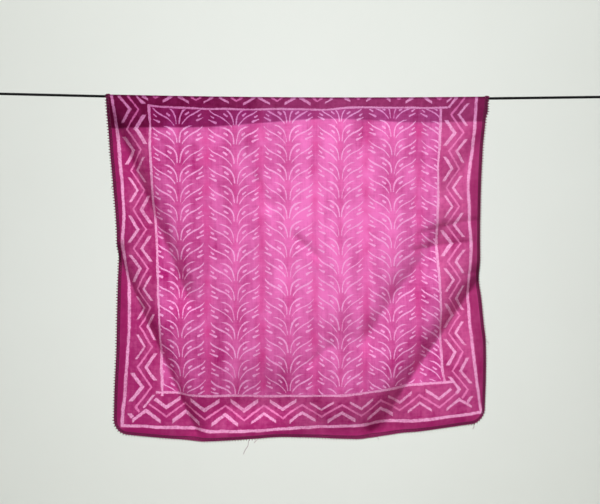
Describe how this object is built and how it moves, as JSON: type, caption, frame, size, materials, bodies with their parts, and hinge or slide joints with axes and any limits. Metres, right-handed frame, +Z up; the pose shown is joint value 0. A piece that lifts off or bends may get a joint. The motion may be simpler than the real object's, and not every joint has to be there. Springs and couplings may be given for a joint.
{
  "type": "printed scarf on a hanging line",
  "caption": "Square pink printed cotton scarf hung over a taut black line, with a short flap behind and the front falling in soft folds.",
  "frame": {"origin": "middle of the left eye plate's back face, where the left end of the line is fastened", "axes": "+X along the line from its left end to its right end, +Z up, and the scarf's front looks along -Y"},
  "size_m": [0.96, 0.0349, 0.508],
  "materials": {
    "printed_cotton": "matte",
    "black_cord": "matte",
    "plated_steel": "satin"
  },
  "bodies": {
    "root": {"scarf": "printed_cotton", "line": "black_cord", "loop_and_knot_left": "black_cord", "loop_and_knot_right": "black_cord", "eye_plate_left": "plated_steel", "eye_plate_right": "plated_steel"}
  },
  "joints": []
}
